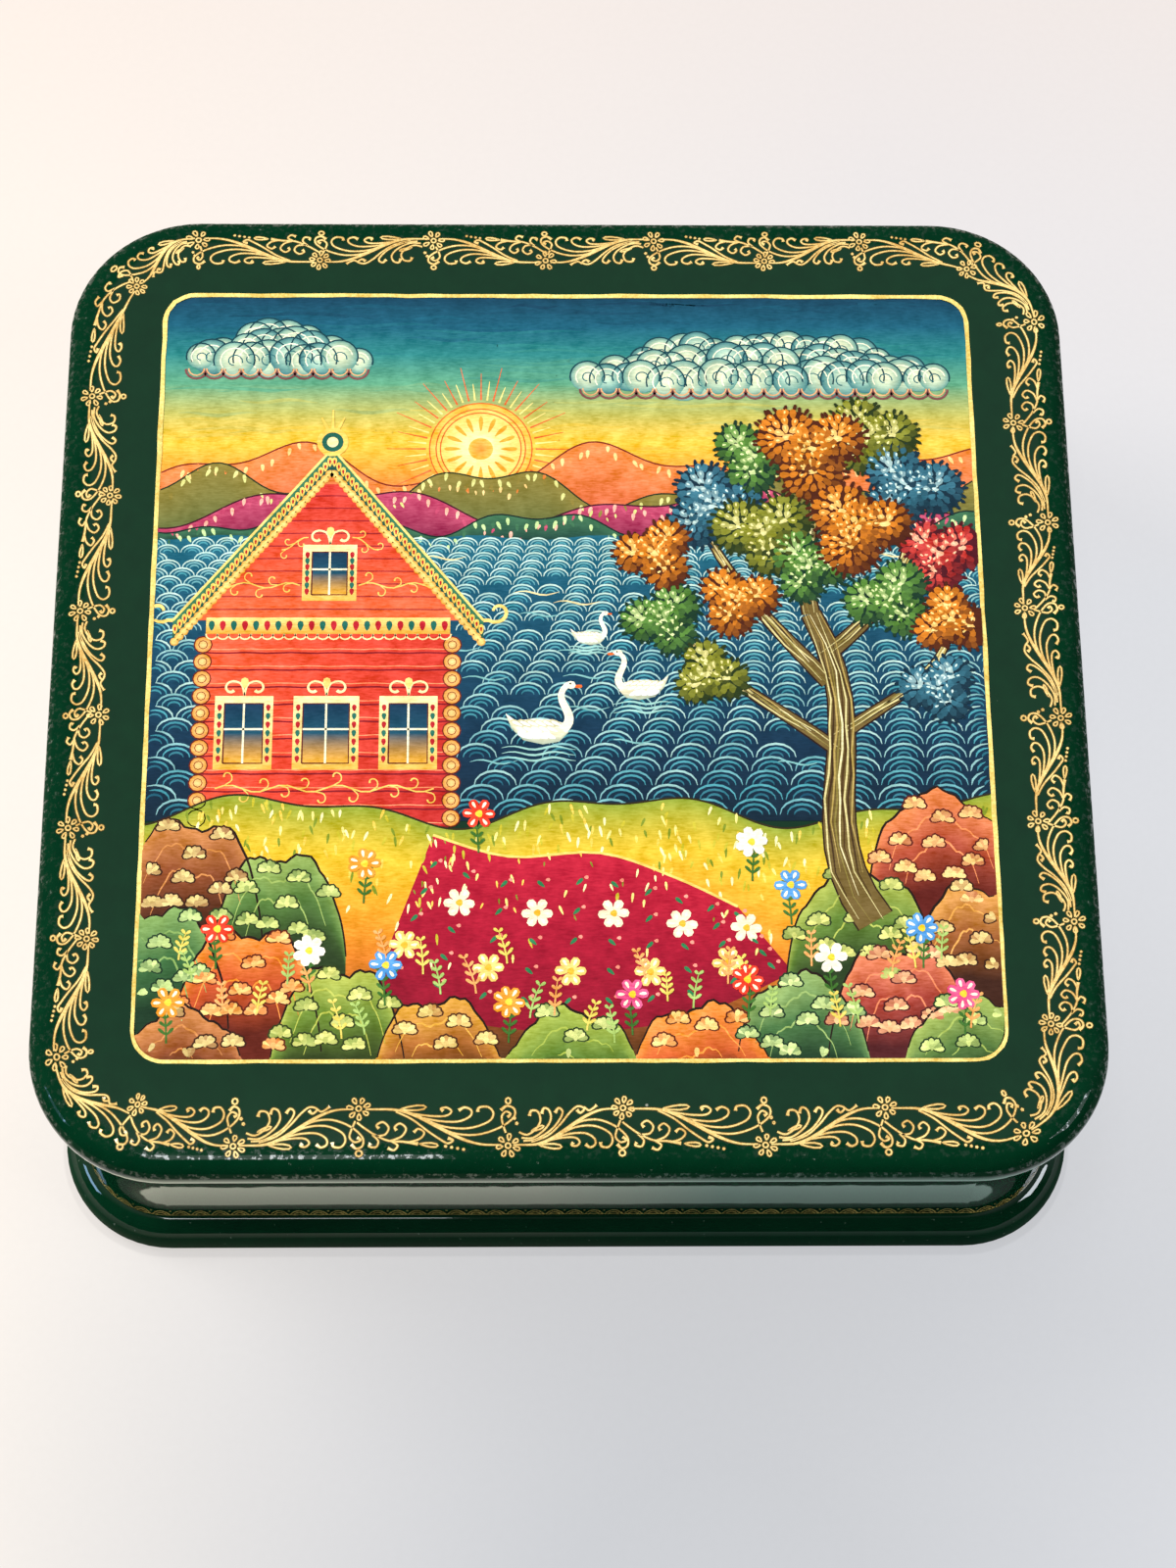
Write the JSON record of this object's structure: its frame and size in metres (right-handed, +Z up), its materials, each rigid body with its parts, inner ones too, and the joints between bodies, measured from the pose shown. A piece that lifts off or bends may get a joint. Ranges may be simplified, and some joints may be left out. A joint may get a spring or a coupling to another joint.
{
  "type": "lacquer box",
  "caption": "Square hinged lacquer box of painted papier-mache: overhanging lid with a gold scroll border, coved walls, rounded plinth, lined inside.",
  "frame": {"origin": "middle of the flat underside", "axes": "+Z up; the front, opposite the hinge, faces -Y; +X to the right seen from the front"},
  "size_m": [0.14, 0.14, 0.0425],
  "materials": {
    "green_lacquer": "polished oil lacquer over dark green paint",
    "green_red_lacquer": "dark green lacquer outside, red lacquer inside",
    "red_lacquer": "polished oil lacquer over red paint",
    "gold_paint": "fine gold paint under lacquer",
    "painting": "tempera under lacquer",
    "steel": "drawn wire"
  },
  "bodies": {
    "box": {"bottom_board": "green_red_lacquer", "body_wall": "green_lacquer", "inner_collar": "red_lacquer", "body_knuckle_left": "green_lacquer", "body_knuckle_right": "green_lacquer", "hinge_pin": "steel"},
    "lid": {"lid_board": "green_red_lacquer", "lid_rim": "green_lacquer", "lid_knuckle": "green_lacquer"}
  },
  "joints": [
    {"name": "lid_hinge", "type": "hinge", "parent": "box", "child": "lid", "pos_m": [0, 0.06538, 0.0315], "axis": [-1, 0, 0], "range_deg": [0, 110]}
  ]
}
